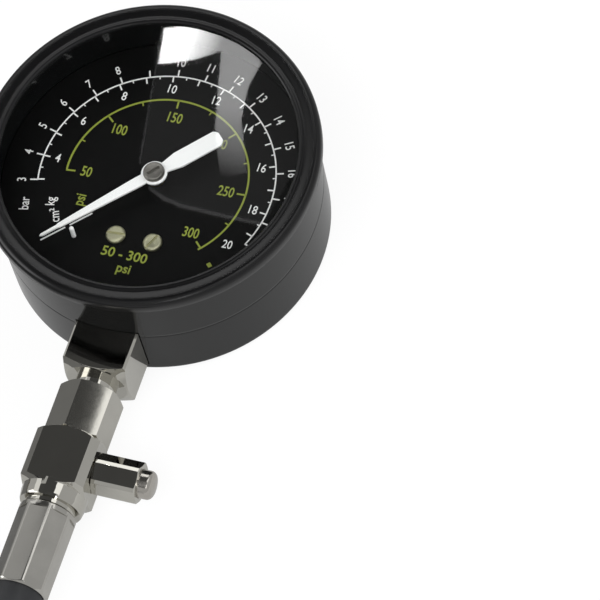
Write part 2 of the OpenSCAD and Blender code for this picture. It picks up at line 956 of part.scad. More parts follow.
module core_body() {
    color("#c9a24f")
    along_plug(core_from + 0.02)
        difference() {
            cylinder(r = 2.6, h = 9);
            translate([0, 0, 2.2])
                cylinder(r = 0.75, h = 9);
            translate([0, 0, -1])
                cylinder(r = 0.75, h = 4);
            translate([0, 0, 0.9])
                cylinder(r = 1.9, h = 5.7);
            translate([-3, -0.5, 8])
                cube([6, 1, 3]);
        }
}

module core_pin() {
    color("silver")
    along_plug(core_from - 0.5) {
        cylinder(r = 0.7, h = 10.6);
        cylinder(r = 1.2, h = 0.4);
    }
}

module core_seal() {
    color("#303030")
    along_plug(core_from + 5.2)
        ring(1.6, 0.7, 1.2);
}

module core_spring() {
    color("silver")
    along_plug(core_from + 1.1)
        coil_spring(1.3, 0.2, 3.9, 4);
}

case();
bezel();
lens();
lens_gasket();
dial();
dial_screws();
dial_posts();
stop_pin();
pointer();
pointer_boss();
stem_socket();
socket_screws();
bourdon_tube();
tube_tip();
link();
back_plate();
front_plate();
plate_pillars();
plate_screws();
sector_gear();
sector_arbor();
pinion();
hairspring();
spring_stud();
valve_body();
release_barrel();
release_button();
release_stem();
release_seal();
release_spring();
hose_nipple();
gauge_ferrule();
hose_ends();
hose();
end_ferrule();
plug_adapter();
plug_ring();
core_body();
core_pin();
core_seal();
core_spring();
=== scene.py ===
import math

import bpy
from mathutils import Matrix, Vector


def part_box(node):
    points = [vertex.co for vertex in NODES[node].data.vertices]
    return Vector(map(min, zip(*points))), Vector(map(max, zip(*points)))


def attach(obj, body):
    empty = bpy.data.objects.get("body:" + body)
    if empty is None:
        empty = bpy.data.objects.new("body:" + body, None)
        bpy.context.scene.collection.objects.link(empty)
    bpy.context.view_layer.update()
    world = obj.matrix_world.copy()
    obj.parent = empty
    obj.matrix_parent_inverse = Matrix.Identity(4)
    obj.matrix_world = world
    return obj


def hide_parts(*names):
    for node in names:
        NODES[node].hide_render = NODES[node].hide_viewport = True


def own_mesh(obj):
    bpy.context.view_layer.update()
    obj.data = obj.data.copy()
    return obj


bl_info = {
    "name": "Engine compression tester",
    "version": (1, 0, 0),
    "blender": (4, 5, 0),
    "location": "3D View > Sidebar > Tester",
    "description": (
        "Builds a dial pressure gauge with a release valve, a hose and a spark plug adapter"
    ),
    "category": "Object",
}

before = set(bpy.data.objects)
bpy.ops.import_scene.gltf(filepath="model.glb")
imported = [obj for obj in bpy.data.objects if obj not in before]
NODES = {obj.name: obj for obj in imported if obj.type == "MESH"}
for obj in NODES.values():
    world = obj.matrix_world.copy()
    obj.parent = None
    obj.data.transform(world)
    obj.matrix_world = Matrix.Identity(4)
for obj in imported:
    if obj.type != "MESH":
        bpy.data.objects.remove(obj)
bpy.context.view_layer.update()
MM = 0.001
WHITE = (1, 1, 1, 1)

# Points closer than this are one point
MERGE = 0.002 * MM

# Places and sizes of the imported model, in millimetres in its frame
STEM_AXIS_Z = 10.0
VALVE_Y = -66.9
SLEEVE_END = -98.4
PLUG_START = (-125.0, -71.0, 8.2)
PLUG_WAY = (0.0, 1.0, 0.0)
HOSE_ROUTE = (
    (0, SLEEVE_END, STEM_AXIS_Z), (0, -108, 9.2), (0, -121, 7.4), (-4, -142, 6),
    (-15, -161, 5.7), (-32, -175, 5.7), (-52, -182, 5.7), (-74, -182, 5.7), (-94, -175, 5.7),
    (-110, -161, 5.7), (-120, -143, 5.7), (-124, -123, 5.7), (-125, -107, 6), (-125, -93, 6.9),
    (-125, -81, 7.8), PLUG_START,
)

# The case: its radius at the front, what the mould's draft takes off at the back, its walls, the
# bar that cuts the stem's hole, and the stepped holes for the two screws of the stem
CASE_FRONT_R = 36.5
CASE_FRONT_Z = 30.2
CASE_DRAFT = 0.6
CASE_WALL = 1.6
CASE_FLOOR = 2.0
CASE_CORNER = 1.6
STEM_HOLE = ((-7.35, -38, 2.65), (7.35, -33.3, 17.35))
SCREW_HOLE = ((0, -1), (3.1, -1), (3.1, 0.9), (1.6, 0.9), (1.6, 3), (0, 3))
SCREW_SIDE = 4.5
SCREW_Y = -28

# The moulding line round the case: heights, and how deep its groove is there
MOULDING_LINE = (
    (14.9, 0), (15.1, 0), (15.3, 0.02), (15.42, 0.06), (15.5, 0.07), (15.58, 0.06), (15.7, 0.02),
    (15.9, 0), (16.1, 0),
)

# The bezel: where it grips the case, where it ends below, its rounded rim and the lens's opening
BEZEL_BORE_R = 36.55
BEZEL_SKIRT_Z = 29.5
BEZEL_ROUND = 1.5
LENS_OPENING_R = 33.0
LENS_SEAT_Z = 31.85

# The dial, with angles in degrees clockwise from twelve o'clock. An arc is its radius, first and
# last angle and width. A scale is its first angle and the step to the next figure.
DIAL_FACE = 20.6
WHITE_ARC = (26.4, -103.2, 114.2, 0.32)
OUTER_SCALE = (-103.0, 13.55)
INNER_SCALE = (-102.8, 13.22)
GREEN_ARC = (20.4, -95.4, 134.9, 0.42)
GREEN_SCALE = (-96, 45.8)
ZERO_ANGLE = -135.2

# The pointer: its underside, its thickness and its turn from twelve o'clock, anticlockwise
POINTER_FACE = 23.4
POINTER_THICKNESS = 0.5
REST_ANGLE = 136.9

# The spark plug adapter, measured from the hose's end: its knurled grip and its M14 thread
GRIP_ENDS = (24.1, 37.7)
GRIP_ROOT_R = 7.62
GRIP_CREST_R = 8.0
THREAD_PITCH = 1.25
THREAD_TURNS = 11
THREAD_END = 54.6
THREAD_ROOT_R = 6.2
THREAD_CREST_R = 6.95


def linear(code):
    """The linear colour of an sRGB hex value."""
    parts = [int(code[i : i + 2], 16) / 255 for i in (1, 3, 5)]
    return tuple(c / 12.92 if c <= 0.04045 else ((c + 0.055) / 1.055) ** 2.4 for c in parts)


def length_property(name, description, default, low, high, precision=5):
    """A length whose default and limits are given in millimetres."""
    return bpy.props.FloatProperty(
        name=name,
        description=description,
        default=default * MM,
        min=low * MM,
        max=high * MM,
        precision=precision,
        subtype="DISTANCE",
        unit="LENGTH",
    )


def colour_property(name, code, description):
    """A colour with its default written as an sRGB hex value."""
    return bpy.props.FloatVectorProperty(
        name=name,
        description=description,
        default=linear(code),
        min=0,
        max=1,
        size=3,
        subtype="COLOR",
    )


class TesterSizes(bpy.types.PropertyGroup):
    """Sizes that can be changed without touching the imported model."""

    edge_break: length_property(
        "Edge break", "Width of the broken edges on the plated brass pieces", 0.16, 0.02, 0.5
    )
    ink_height: length_property(
        "Ink height", "How far the printed scales stand above the dial", 0.03, 0.01, 0.1
    )
    hose_diameter: length_property(
        "Hose diameter", "Outer diameter of the rubber hose", 11.2, 9, 11.6, precision=4
    )
    knurl_teeth: bpy.props.IntProperty(
        name="Knurl teeth",
        description="Number of teeth round the plug adapter's grip",
        default=56,
        min=24,
        max=96,
    )


class TesterColours(bpy.types.PropertyGroup):
    """Colours of the finishes."""

    case: colour_property("Case", "#0f1010", "Moulded case")
    bezel: colour_property("Bezel", "#0b0b0c", "Bezel")
    dial: colour_property("Dial", "#040404", "Dial face")
    scale_white: colour_property("White scale", "#f4f4f2", "Outer scales")
    scale_green: colour_property("Green scale", "#8f9a34", "Inner scale")
    pointer: colour_property("Pointer", "#fbfbfa", "Pointer")
    nickel: colour_property("Nickel", "#cbc9c1", "Plated brass")
    rubber: colour_property("Rubber", "#17181a", "Hose")


# Modelling helpers


def alone(piece=None):
    """Leaves edit mode and selects one piece, or nothing."""
    active = bpy.context.view_layer.objects.active
    if active is not None and active.mode != "OBJECT":
        bpy.ops.object.mode_set(mode="OBJECT")
    bpy.ops.object.select_all(action="DESELECT")
    if piece is not None:
        piece.select_set(True)
    bpy.context.view_layer.objects.active = piece


def settle(piece, name):
    """Names a piece and puts its place into its mesh."""
    alone(piece)
    bpy.ops.object.transform_apply(location=True, rotation=True, scale=True)
    piece.name = name
    piece.data.name = name
    return piece


def chain(points):
    """Draws a chain of edges from point to point, in edit mode, all of it selected."""
    places = [Vector(p) * MM for p in points]
    alone()
    bpy.ops.mesh.primitive_plane_add(size=MM, location=places[0])
    piece = bpy.context.object
    bpy.ops.object.mode_set(mode="EDIT")
    bpy.ops.mesh.select_all(action="SELECT")
    bpy.ops.mesh.merge(type="CENTER")
    for here, there in zip(places, places[1:]):
        bpy.ops.mesh.extrude_region_move(TRANSFORM_OT_translate={"value": there - here})
    bpy.ops.mesh.select_all(action="SELECT")
    return piece


def face_outwards():
    """Turns all faces outwards, in edit mode."""
    bpy.ops.mesh.select_all(action="SELECT")
    bpy.ops.mesh.normals_make_consistent(inside=False)


def merge_doubles(distance=MERGE):
    """Merges points that lie on each other, in edit mode."""
    bpy.ops.mesh.select_all(action="SELECT")
    bpy.ops.mesh.remove_doubles(threshold=distance)


def turned(name, profile, steps, base=(0, 0, 0), along=(0, 0, 1)):
    """Spins a profile of (radius, reach) points round an axis."""
    axis = Vector(along).normalized()
    side = axis.orthogonal().normalized()
    start = Vector(base)
    piece = chain([start + side * r + axis * h for r, h in profile])
    bpy.ops.mesh.spin(steps=steps, angle=math.tau, center=start * MM, axis=axis)
    merge_doubles()
    face_outwards()
    return settle(piece, name)


def cut_out(name, outline, low, high):
    """Fills a closed outline of (x, y) points and raises it from low to high."""
    piece = chain([(x, y, low) for x, y in outline])
    bpy.ops.mesh.edge_face_add()
    bpy.ops.mesh.select_all(action="SELECT")
    bpy.ops.mesh.extrude_region_move(TRANSFORM_OT_translate={"value": (0, 0, (high - low) * MM)})
    face_outwards()
    return settle(piece, name)


def bar(name, low, high):
    """A squared bar between two corners, as a cutter."""
    alone()
    middle = (Vector(low) + Vector(high)) / 2 * MM
    size = (Vector(high) - Vector(low)) * MM
    bpy.ops.mesh.primitive_cube_add(size=1, location=middle, scale=size)
    return settle(bpy.context.object, name)


def quarter_turn(steps):
    """The sines and cosines of a quarter turn in that many steps."""
    angles = [math.radians(90 * i / steps) for i in range(steps + 1)]
    return [(math.sin(a), math.cos(a)) for a in angles]


def combine(piece, other, way):
    """Cuts other out of the piece, joins it on or keeps what both hold."""
    alone(piece)
    work = piece.modifiers.new(way, "BOOLEAN")
    work.operation = way
    work.solver = "EXACT"
    work.object = other
    bpy.ops.object.modifier_apply(modifier=work.name)
    bpy.data.objects.remove(other)
    return piece


def smoothed(piece, angle):
    """Smooths the piece where its faces meet at less than that angle in degrees."""
    alone(piece)
    bpy.ops.object.shade_smooth_by_angle(angle=math.radians(angle))
    return piece


def break_edges(piece, width, segments=2, angle=30, smooth=40):
    """Bevels the edges that are sharper than angle and smooths the rest."""
    alone(piece)
    work = piece.modifiers.new("edges", "BEVEL")
    work.width = width
    work.segments = segments
    work.limit_method = "ANGLE"
    work.angle_limit = math.radians(angle)
    bpy.ops.object.modifier_apply(modifier=work.name)
    smoothed(piece, smooth)
    level = piece.modifiers.new("level", "WEIGHTED_NORMAL")
    level.keep_sharp = True
    bpy.ops.object.modifier_apply(modifier=level.name)
    return piece


def join(pieces, name):
    """Makes one piece of several."""
    alone(pieces[0])
    for p in pieces[1:]:
        p.select_set(True)
    bpy.ops.object.join()
    return settle(bpy.context.object, name)


def whole_copy(name, node):
    """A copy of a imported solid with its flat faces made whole."""
    piece = bpy.data.objects.new(name, NODES[node].data.copy())
    bpy.context.scene.collection.objects.link(piece)
    alone(piece)
    bpy.ops.mesh.customdata_custom_splitnormals_clear()
    bpy.ops.object.mode_set(mode="EDIT")
    merge_doubles()
    bpy.ops.mesh.dissolve_limited(angle_limit=math.radians(0.5))
    bpy.ops.object.mode_set(mode="OBJECT")
    return piece


def dress(piece, finish, slot, body="gauge", *nodes):
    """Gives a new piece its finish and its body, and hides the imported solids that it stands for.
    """
    piece.data.materials.clear()
    piece.data.materials.append(finish)
    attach(piece, body)
    if nodes:
        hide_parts(*nodes)
    return piece


def coat(finish, *nodes):
    """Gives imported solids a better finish."""
    for node in nodes:
        for place in NODES[node].material_slots:
            place.material = finish


# Shader helpers

# Noise keeps mostly between these two values
NOISE_RANGE = (0.3, 0.7)


def add(tree, kind, sockets=None, **settings):
    """Adds a node with its settings, and sets or links its sockets."""
    node = tree.nodes.new(kind)
    for name, value in settings.items():
        setattr(node, name, value)
    for name, value in (sockets or {}).items():
        if isinstance(value, bpy.types.NodeSocket):
            tree.links.new(value, node.inputs[name])
        else:
            node.inputs[name].default_value = value
    return node


def new_finish(name):
    """An empty material with Object coordinates."""
    finish = bpy.data.materials.new(name)
    finish.use_nodes = True
    tree = finish.node_tree
    tree.nodes.clear()
    place = add(tree, "ShaderNodeTexCoord").outputs["Object"]
    return finish, tree, place


def close(tree, shader):
    """Links the shader to the material's output."""
    add(tree, "ShaderNodeOutputMaterial", {"Surface": shader})


def principled(tree, sockets):
    """Ends a finish in a Principled shader."""
    close(tree, add(tree, "ShaderNodeBsdfPrincipled", sockets).outputs["BSDF"])


def maths(tree, operation, first, second):
    """The result of a sum on two values."""
    return add(tree, "ShaderNodeMath", {0: first, 1: second}, operation=operation).outputs[0]


def ranged(tree, value, low, high, start=0.0, end=1.0):
    """Maps the values from start to end onto those from low to high."""
    sockets = {
        "Value": value, "From Min": start, "From Max": end, "To Min": low, "To Max": high,
    }
    return add(tree, "ShaderNodeMapRange", sockets).outputs["Result"]


def mixed(tree, share, first, second):
    """Two shaders, the second by its share."""
    return add(tree, "ShaderNodeMixShader", {0: share, 1: first, 2: second}).outputs["Shader"]


def emitted(tree, strength):
    """White light of that strength."""
    sockets = {"Color": WHITE, "Strength": strength}
    return add(tree, "ShaderNodeEmission", sockets).outputs["Emission"]


def noise(tree, place, size, detail):
    """A noise pattern with features of about that many millimetres."""
    sockets = {"Vector": place, "Scale": 1 / (size * MM), "Detail": detail}
    return add(tree, "ShaderNodeTexNoise", sockets).outputs["Fac"]


def grain_bump(tree, place, size, depth, detail=2):
    """A pattern of grains of that size and its bump of that depth, in millimetres."""
    grains = noise(tree, place, size, detail)
    sockets = {"Height": grains, "Distance": depth * MM, "Strength": 1.0}
    return grains, add(tree, "ShaderNodeBump", sockets).outputs["Normal"]


def spread(tree, pattern, low, high):
    """Maps a noise pattern onto the range from low to high."""
    return ranged(tree, pattern, low, high, *NOISE_RANGE)


def shades(tree, pattern, dark, light):
    """Mixes two colours by a noise pattern."""
    ramp = add(tree, "ShaderNodeValToRGB", {"Fac": pattern})
    stops = ramp.color_ramp.elements
    for i, colour in enumerate((dark, light)):
        stops[i].position = NOISE_RANGE[i]
        stops[i].color = (*colour, 1)
    return ramp.outputs["Color"]


def scaled(colour, by):
    """A colour made lighter or darker by a factor."""
    return tuple(min(1.0, c * by) for c in colour)


# Finishes


def moulded_plastic(name, colour, rough, grain, depth, ior=1.53):
    """Injection-moulded plastic: a fine eroded grain, with handling marks that vary its gloss."""
    finish, tree, place = new_finish(name)
    _, normal = grain_bump(tree, place, grain, depth)
    marks = noise(tree, place, 18.0, 4.0)
    principled(
        tree,
        {
            "Base Color": shades(tree, marks, scaled(colour, 0.88), scaled(colour, 1.1)),
            "Roughness": spread(tree, marks, rough * 0.88, rough * 1.12),
            "IOR": ior,
            "Normal": normal,
        },
    )
    return finish


def plated_metal(name, colour, rough, tint, mark, depth):
    """Bare or plated metal: fine working marks, and patches of handling that vary its gloss."""
    finish, tree, place = new_finish(name)
    patches = noise(tree, place, 5.0, 5.0)
    _, normal = grain_bump(tree, place, mark, depth, 3)
    principled(
        tree,
        {
            "Base Color": shades(tree, patches, scaled(colour, tint), colour),
            "Metallic": 1.0,
            "Roughness": spread(tree, patches, rough * 0.75, rough * 1.35),
            "Normal": normal,
        },
    )
    return finish


def matt_paint(name, colour, rough, grain=0.12, sheen=0.5):
    """Sprayed or printed paint: even colour with a faint orange peel."""
    finish, tree, place = new_finish(name)
    grains, normal = grain_bump(tree, place, grain, 0.002)
    principled(
        tree,
        {
            "Base Color": shades(tree, grains, scaled(colour, 0.95), colour),
            "Roughness": rough,
            "Specular IOR Level": sheen,
            "Normal": normal,
        },
    )
    return finish


def rubber(name, colour):
    """Cured rubber hose: nearly black, with a wrapped skin that is duller where it was handled."""
    finish, tree, place = new_finish(name)
    _, normal = grain_bump(tree, place, 0.5, 0.02, 3)
    dust = noise(tree, place, 9.0, 6.0)
    principled(
        tree,
        {
            "Base Color": shades(tree, dust, colour, scaled(colour, 1.8)),
            "Roughness": spread(tree, dust, 0.42, 0.6),
            "IOR": 1.52,
            "Normal": normal,
        },
    )
    return finish


def clear_lens(name):
    """Clear polystyrene: a mirror of about 5% on the outside and straight sight through it."""
    finish, tree, _ = new_finish(name)
    glance = add(tree, "ShaderNodeFresnel", {"IOR": 1.55}).outputs["Fac"]
    inside = add(tree, "ShaderNodeNewGeometry").outputs["Backfacing"]
    outside = maths(tree, "SUBTRACT", 1.0, inside)
    share = maths(tree, "MULTIPLY", glance, outside)
    through = add(tree, "ShaderNodeBsdfTransparent", {"Color": (0.985, 0.99, 0.99, 1)})
    mirror = add(tree, "ShaderNodeBsdfAnisotropic", {"Color": WHITE, "Roughness": 0.015})
    close(tree, mixed(tree, share, through.outputs["BSDF"], mirror.outputs["BSDF"]))
    return finish


FINISHES = {}


def make_finishes():
    """Makes every finish once, from the colours in the scene."""
    c = bpy.context.scene.tester_colours
    pick = {n: tuple(getattr(c, n)) for n in TesterColours.__annotations__}
    FINISHES.update(
        # Case: ABS from a polished mould, black, and grey where it mirrors the bench
        case=moulded_plastic("Housing_polished_ABS", pick["case"], 0.11, 0.6, 0.0005, ior=1.41),
        # Bezel: ABS from a polished mould, semi-gloss black
        bezel=moulded_plastic("Bezel_semi_gloss_ABS", pick["bezel"], 0.24, 0.6, 0.001, ior=1.42),
        # Dial: aluminium sheet with baked black paint, nearly matt
        dial=matt_paint("Dial_black_paint", pick["dial"], 0.62, sheen=0.15),
        # Scales: screen-printed ink
        white=matt_paint("Scale_white_ink", pick["scale_white"], 0.55),
        green=matt_paint("Scale_green_ink", pick["scale_green"], 0.55),
        # Pointer and stop pin: white enamel
        pointer=matt_paint("Pointer_white_enamel", pick["pointer"], 0.38, 0.3),
        # Stem, valve body, barrel and plug adapter: turned brass, polished and nickel plated
        nickel=plated_metal("Nickel_plated_brass", pick["nickel"], 0.03, 0.95, 0.9, 0.0003),
        # Boss, arbors, inner screws, valve pins and springs: steel, duller
        steel=plated_metal("Steel_turned", linear("#8f8c86"), 0.4, 0.85, 0.4, 0.004),
        # Dial screws: zinc plated steel, passivated slightly yellow
        screw=plated_metal("Steel_zinc_yellow", linear("#d6d4b4"), 0.5, 0.85, 0.4, 0.003),
        # Crimped sleeves: zinc plated brass, tumbled dull
        zinc=plated_metal("Zinc_plated_tumbled", linear("#c4c2bc"), 0.15, 0.9, 0.7, 0.001),
        # Button: polished nickel plate, worn a little by thumbs
        button=plated_metal("Button_nickel_plate", linear("#c4c0b9"), 0.14, 0.9, 0.7, 0.0006),
        # Movement, nipple and valve core: bare brass
        brass=plated_metal("Brass_bare", linear("#c8a24c"), 0.3, 0.85, 0.6, 0.002),
        # Pressure tube, its tip and the hairspring: drawn phosphor bronze, slightly browner
        bronze=plated_metal("Bronze_drawn_tube", linear("#b0783f"), 0.32, 0.85, 0.8, 0.002),
        # Hose: cured rubber, nearly black
        rubber=rubber("Hose_rubber", pick["rubber"]),
        # Seals and gasket: moulded nitrile, matt black
        seal=moulded_plastic("Seal_nitrile", linear("#141414"), 0.6, 0.4, 0.003),
        # Lens: clear moulded polystyrene
        lens=clear_lens("Lens_clear_polystyrene"),
    )


# Pieces


class TESTER_OT_hose(bpy.types.Operator):
    """Lays the rubber hose from the gauge's sleeve to the plug's sleeve"""

    bl_idname = "tester.hose"
    bl_label = "Hose"

    def execute(self, context):
        size = context.scene.tester_sizes.hose_diameter
        curve = bpy.data.curves.new("hose_rubber", "CURVE")
        curve.dimensions = "3D"
        curve.bevel_depth = size / 2
        curve.bevel_resolution = 10
        curve.resolution_u = 14
        curve.use_fill_caps = True
        spline = curve.splines.new("BEZIER")
        spline.bezier_points.add(len(HOSE_ROUTE) - 1)
        for knot, place in zip(spline.bezier_points, HOSE_ROUTE):
            knot.co = Vector(place) * MM
            knot.handle_left_type = knot.handle_right_type = "AUTO"
        hose = bpy.data.objects.new("hose_rubber", curve)
        context.scene.collection.objects.link(hose)
        context.view_layer.update()
        # The two ends run straight out of their sleeves
        first, last = spline.bezier_points[0], spline.bezier_points[-1]
        first.handle_left_type = first.handle_right_type = "FREE"
        first.handle_left = first.co + Vector((0, 3, 0)) * MM
        first.handle_right = first.co + Vector((0, -4, 0)) * MM
        last.handle_left_type = last.handle_right_type = "FREE"
        last.handle_left = last.co - Vector(PLUG_WAY) * 4 * MM
        last.handle_right = last.co + Vector(PLUG_WAY) * 3 * MM
        curve.materials.append(FINISHES["rubber"])
        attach(hose, "gauge")
        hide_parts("hose")
        return {"FINISHED"}


class TESTER_OT_case(bpy.types.Operator):
    """Turns the moulded case and cuts the stem's square hole and the screw holes"""

    bl_idname = "tester.case"
    bl_label = "Case"

    def execute(self, context):
        _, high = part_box("case")
        rim = high[2] / MM
        reach = self.wall(CASE_CORNER) - CASE_CORNER
        profile = [(0, 0)]
        for sine, cosine in quarter_turn(8):
            profile.append((reach + CASE_CORNER * sine, CASE_CORNER - CASE_CORNER * cosine))
        for z, depth in ((1.9, 0), *MOULDING_LINE, (rim - 0.3, 0), (rim, 0)):
            profile.append((self.wall(z) - depth, z))
        for z in (rim, CASE_FLOOR):
            profile.append((self.wall(z) - CASE_WALL, z))
        profile.append((0, CASE_FLOOR))
        case = turned("case_shell", profile, 160)
        combine(case, bar("hole", *STEM_HOLE), "DIFFERENCE")
        for side in (-SCREW_SIDE, SCREW_SIDE):
            combine(case, turned("hole", SCREW_HOLE, 40, (side, SCREW_Y, 0)), "DIFFERENCE")
        dress(smoothed(case, 28), FINISHES["case"], "case_grey", "gauge", "case")
        return {"FINISHED"}

    @staticmethod
    def wall(z):
        """Outer radius at a height: the mould's draft makes it narrower towards the back."""
        return CASE_FRONT_R - CASE_DRAFT * (1 - z / CASE_FRONT_Z)


class TESTER_OT_bezel(bpy.types.Operator):
    """Turns the bezel with its rounded rim and raised inner lip"""

    bl_idname = "tester.bezel"
    bl_label = "Bezel"

    def execute(self, context):
        _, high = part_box("bezel")
        outer = high[0] / MM
        top = high[2] / MM
        seat = (BEZEL_BORE_R, LENS_SEAT_Z)
        profile = [
            seat, (BEZEL_BORE_R, BEZEL_SKIRT_Z), (outer - 0.3, BEZEL_SKIRT_Z),
            (outer - 0.08, BEZEL_SKIRT_Z + 0.08), (outer, BEZEL_SKIRT_Z + 0.3),
        ]
        for sine, cosine in quarter_turn(10):
            profile.append(
                (
                    outer - BEZEL_ROUND + BEZEL_ROUND * cosine,
                    top - BEZEL_ROUND + BEZEL_ROUND * sine,
                )
            )
        # The shallow groove, the raised lip and the way down to the lens
        for radius, down in (
            (35.8, 0.07), (35.2, 0.2), (34.7, 0.3), (34.4, 0.3), (34.15, 0.22), (33.9, 0.13),
            (33.65, 0.11), (33.4, 0.16), (33.2, 0.27), (33.06, 0.42), (LENS_OPENING_R, 0.6),
        ):
            profile.append((radius, top - down))
        profile += [(LENS_OPENING_R, LENS_SEAT_Z), seat]
        ring = turned("bezel_ring", profile, 192)
        dress(smoothed(ring, 50), FINISHES["bezel"], "bezel_black", "gauge", "bezel")
        return {"FINISHED"}


class TESTER_OT_lens(bpy.types.Operator):
    """Makes the lens clear and its gasket rubber"""

    bl_idname = "tester.lens"
    bl_label = "Lens"

    def execute(self, context):
        coat(FINISHES["lens"], "lens")
        coat(FINISHES["seal"], "lens_gasket")
        return {"FINISHED"}


def clock(radius, angle):
    """The (x, y) point of the dial at that angle clockwise from twelve o'clock."""
    a = math.radians(angle)
    return (radius * math.sin(a), radius * math.cos(a))


def arc_line(radius, start, end, width, ink):
    """A printed line along an arc. Ink is the printing's lower and upper height."""
    count = max(8, int((end - start) / 2.5))
    angles = [start + (end - start) * i / count for i in range(count + 1)]
    outer = [clock(radius + width / 2, a) for a in angles]
    inner = [clock(radius - width / 2, a) for a in reversed(angles)]
    return cut_out("arc", outer + inner, *ink)


def tick(angle, inner, outer, width, ink):
    """A printed tick across the arc, pointing at the dial's centre."""
    low, high = ink
    x, y = clock((inner + outer) / 2, angle)
    alone()
    bpy.ops.mesh.primitive_cube_add(
        size=1,
        location=Vector((x, y, (low + high) / 2)) * MM,
        rotation=(0, 0, -math.radians(angle)),
        scale=(width * MM, (outer - inner) * MM, (high - low) * MM),
    )
    return settle(bpy.context.object, "tick")


def figure(words, place, size, turn, wide, weight, ink):
    """Printed figures centred on a place and turned clockwise by an angle."""
    low, high = ink
    alone()
    bpy.ops.object.text_add(location=Vector((*place, (low + high) / 2)) * MM)
    text = bpy.context.object
    text.data.body = words
    text.data.size = size * MM
    text.data.align_x = "CENTER"
    text.data.align_y = "CENTER"
    text.data.extrude = (high - low) / 2 * MM
    text.data.offset = weight * MM
    text.data.resolution_u = 3
    text.rotation_euler = (0, 0, -math.radians(turn))
    text.scale = (wide, 1, 1)
    alone(text)
    bpy.ops.object.convert(target="MESH")
    bpy.ops.object.mode_set(mode="EDIT")
    merge_doubles(0.001 * MM)
    return settle(bpy.context.object, "figure")


class TESTER_OT_dial(bpy.types.Operator):
    """Paints the dial black and prints its scales, zero mark and figures"""

    bl_idname = "tester.dial"
    bl_label = "Dial"

    def execute(self, context):
        ink = (DIAL_FACE, DIAL_FACE + context.scene.tester_sizes.ink_height / MM)
        coat(FINISHES["dial"], "dial")
        white, green = self.white_print(ink), self.green_print(ink)
        dress(join(white, "scale_white"), FINISHES["white"], "pointer_white")
        dress(join(green, "scale_green"), FINISHES["green"], "pointer_white")
        return {"FINISHED"}

    def white_print(self, ink):
        """The white arc with a scale on either side, their units and the zero mark."""
        wide, weight = 0.8, 0.02
        parts = [arc_line(*WHITE_ARC, ink)]
        start, step = OUTER_SCALE
        for n in range(3, 20):
            angle = start + step * (n - 3)
            parts.append(tick(angle, 26.3, 28.1, 0.34, ink))
            # The photo shows no figure at the place of the 9
            if n != 9:
                place = clock(29.9, angle)
                parts.append(figure(str(n), place, 2.9, angle, wide, weight, ink))
        start, step = INNER_SCALE
        for n in range(3, 20):
            angle = start + step * (n - 3)
            parts.append(tick(angle, 24.9, 26.5, 0.34, ink))
            if n % 2 == 0:
                parts.append(figure(str(n), clock(23.1, angle), 3.0, 0, wide, weight, ink))
            if n < 19:
                parts.append(tick(angle + step / 2, 25.7, 26.5, 0.25, ink))
        for words, radius, angle, size, turn in (
            ("20", 23.5, 120, 2.9, 0), ("bar", 29.3, -115, 3.1, -102),
            ("kg", 23.6, -116.5, 3.0, -102), ("cm²", 23.4, -125.5, 3.0, -112),
        ):
            parts.append(figure(words, clock(radius, angle), size, turn, wide, weight, ink))
        # The zero mark is printed in two pieces. The unprinted gap between them is a painted shadow
        # of the pointer, which lies just above it.
        for inner, outer in ((22.5, 28.6), (15.8, 21.4)):
            parts.append(tick(ZERO_ANGLE, inner, outer, 0.36, ink))
        return parts

    def green_print(self, ink):
        """The green arc with its scale, and the range and unit under the screws."""
        parts = [arc_line(*GREEN_ARC, ink)]
        start, step = GREEN_SCALE
        for n in range(6):
            angle = start + step * n
            parts.append(tick(angle, 18.4, 20.5, 0.4, ink))
            words = str(50 * n + 50)
            parts.append(figure(words, clock(15.9, angle), 3.5, 0, 0.72, 0.04, ink))
            if n < 5:
                parts.append(tick(angle + step / 2, 19.4, 20.5, 0.3, ink))
        parts.append(figure("psi", clock(17.2, -120), 3.4, -90, 0.8, 0.04, ink))
        parts.append(figure("50 - 300", (-0.9, -19.5), 3.3, 0, 0.95, 0.05, ink))
        parts.append(figure("psi", (0.1, -22.8), 3.2, 0, 0.95, 0.05, ink))
        parts.append(tick(134, 24.6, 25.7, 0.9, ink))
        return parts


class TESTER_OT_dial_fittings(bpy.types.Operator):
    """Makes the two slotted dial screws and the domed stop pin"""

    bl_idname = "tester.dial_fittings"
    bl_label = "Dial screws and stop pin"

    def execute(self, context):
        head = [
            (0, 18.2), (0.8, 18.2), (1.0, 18.4), (1.0, 20.6), (2.15, 20.6), (2.2, 20.8),
            (2.1, 21.1), (1.85, 21.33), (1.5, 21.46), (0.9, 21.5), (0, 21.5),
        ]
        screws = []
        for side in (-1, 1):
            place = (side * 4.3, -15.2, 0)
            screw = turned("screw", head, 48, place)
            slot = bar("slot", (-2.6, -0.3, 21.0), (2.6, 0.3, 22))
            slot.rotation_euler = (0, 0, math.radians(35 + 30 * side))
            slot.location = Vector(place) * MM
            settle(slot, "slot")
            combine(screw, slot, "DIFFERENCE")
            screws.append(break_edges(screw, 0.05 * MM, 1, 40))
        pair = join(screws, "dial_screw_pair")
        dress(pair, FINISHES["screw"], "steel", "gauge", "dial_screws")
        # The pin stands 6 degrees beyond the pointer at rest
        spot = clock(22, -(REST_ANGLE + 6))
        shape = [
            (0, 20), (0.5, 20), (0.5, 23.9), (0.44, 24.1), (0.28, 24.25), (0.1, 24.3), (0, 24.3),
        ]
        pin = smoothed(turned("stop_pin_domed", shape, 32, (*spot, 0)), 40)
        dress(pin, FINISHES["pointer"], "nickel", "gauge", "stop_pin")
        return {"FINISHED"}


